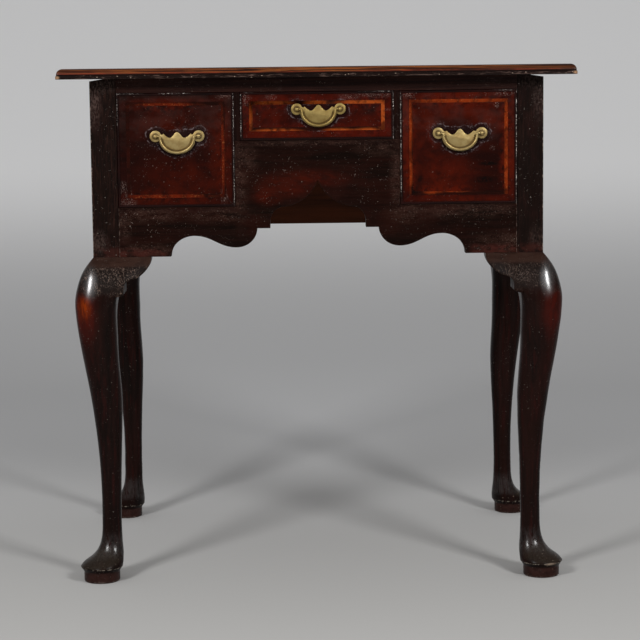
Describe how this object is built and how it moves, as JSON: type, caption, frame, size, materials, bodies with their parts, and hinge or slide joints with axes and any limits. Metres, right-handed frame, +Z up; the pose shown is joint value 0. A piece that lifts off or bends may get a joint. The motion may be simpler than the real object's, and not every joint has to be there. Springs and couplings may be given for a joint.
{
  "type": "lowboy",
  "caption": "Small dressing table with cabriole legs, pad feet, a shaped apron, a moulded overhanging top and inlaid drawers with brass bail handles.",
  "frame": {"origin": "on the floor under the middle of the top board", "axes": "+X to the right seen from the front, +Y to the back, +Z up"},
  "size_m": [0.703, 0.48, 0.71],
  "materials": {
    "top_wood": "old waxed mahogany, dark with a warm worn edge",
    "leg_wood": "old mahogany, nearly black with a red glow on the knees, polished",
    "case_wood": "old mahogany, nearly black, dull wax with pale scuffs",
    "apron_wood": "old mahogany, very dark, dull wax with pale scuffs",
    "drawer_wood": "dark red mahogany veneer, crossbanded, worn polish",
    "bead_wood": "dark mahogany cock bead with worn edges",
    "inlay_wood": "orange-brown stringing, worn and stained",
    "back_wood": "brown oxidised oak board, unpolished",
    "inner_wood": "oak, unpolished and a little oxidised",
    "brass": "old brass, unlacquered, softly polished",
    "iron": "dull iron"
  },
  "bodies": {
    "case": {"top_board": "top_wood", "front_left_leg": "leg_wood", "front_right_leg": "leg_wood", "back_left_leg": "leg_wood", "back_right_leg": "leg_wood", "front_left_apron_ear": "leg_wood", "front_right_apron_ear": "leg_wood", "front_left_side_ear": "leg_wood", "front_right_side_ear": "leg_wood", "back_left_side_ear": "leg_wood", "back_right_side_ear": "leg_wood", "left_side_board": "case_wood", "right_side_board": "case_wood", "apron": "apron_wood", "top_rail": "case_wood", "left_partition": "case_wood", "right_partition": "case_wood", "back_board": "back_wood", "drawer_runners": "inner_wood", "drawer_guides": "inner_wood", "drawer_kickers": "inner_wood", "drawer_stops": "inner_wood", "top_screws": "iron"},
    "left_drawer": {"left_drawer_front": "drawer_wood", "left_drawer_cockbead": "bead_wood", "left_drawer_stringing": "inlay_wood", "left_drawer_left_side": "inner_wood", "left_drawer_right_side": "inner_wood", "left_drawer_back": "inner_wood", "left_drawer_bottom": "inner_wood", "left_handle_plate": "brass", "left_handle_posts": "brass", "left_handle_nuts": "brass"},
    "left_bail": {"left_bail": "brass"},
    "centre_drawer": {"centre_drawer_front": "drawer_wood", "centre_drawer_cockbead": "bead_wood", "centre_drawer_stringing": "inlay_wood", "centre_drawer_left_side": "inner_wood", "centre_drawer_right_side": "inner_wood", "centre_drawer_back": "inner_wood", "centre_drawer_bottom": "inner_wood", "centre_handle_plate": "brass", "centre_handle_posts": "brass", "centre_handle_nuts": "brass"},
    "centre_bail": {"centre_bail": "brass"},
    "right_drawer": {"right_drawer_front": "drawer_wood", "right_drawer_cockbead": "bead_wood", "right_drawer_stringing": "inlay_wood", "right_drawer_left_side": "inner_wood", "right_drawer_right_side": "inner_wood", "right_drawer_back": "inner_wood", "right_drawer_bottom": "inner_wood", "right_handle_plate": "brass", "right_handle_posts": "brass", "right_handle_nuts": "brass"},
    "right_bail": {"right_bail": "brass"}
  },
  "joints": [
    {"name": "left_drawer_slide", "type": "slide", "parent": "case", "child": "left_drawer", "axis": [0, -1, 0], "range_m": [0, 0.3]},
    {"name": "centre_drawer_slide", "type": "slide", "parent": "case", "child": "centre_drawer", "axis": [0, -1, 0], "range_m": [0, 0.3]},
    {"name": "right_drawer_slide", "type": "slide", "parent": "case", "child": "right_drawer", "axis": [0, -1, 0], "range_m": [0, 0.3]},
    {"name": "left_bail_hinge", "type": "hinge", "parent": "left_drawer", "child": "left_bail", "pos_m": [-0.191, -0.2128, 0.61765], "axis": [-1, 0, 0], "range_deg": [-3, 115]},
    {"name": "centre_bail_hinge", "type": "hinge", "parent": "centre_drawer", "child": "centre_bail", "pos_m": [0.002, -0.2128, 0.6524], "axis": [-1, 0, 0], "range_deg": [-3, 115]},
    {"name": "right_bail_hinge", "type": "hinge", "parent": "right_drawer", "child": "right_bail", "pos_m": [0.195, -0.2128, 0.61765], "axis": [-1, 0, 0], "range_deg": [-3, 115]}
  ]
}
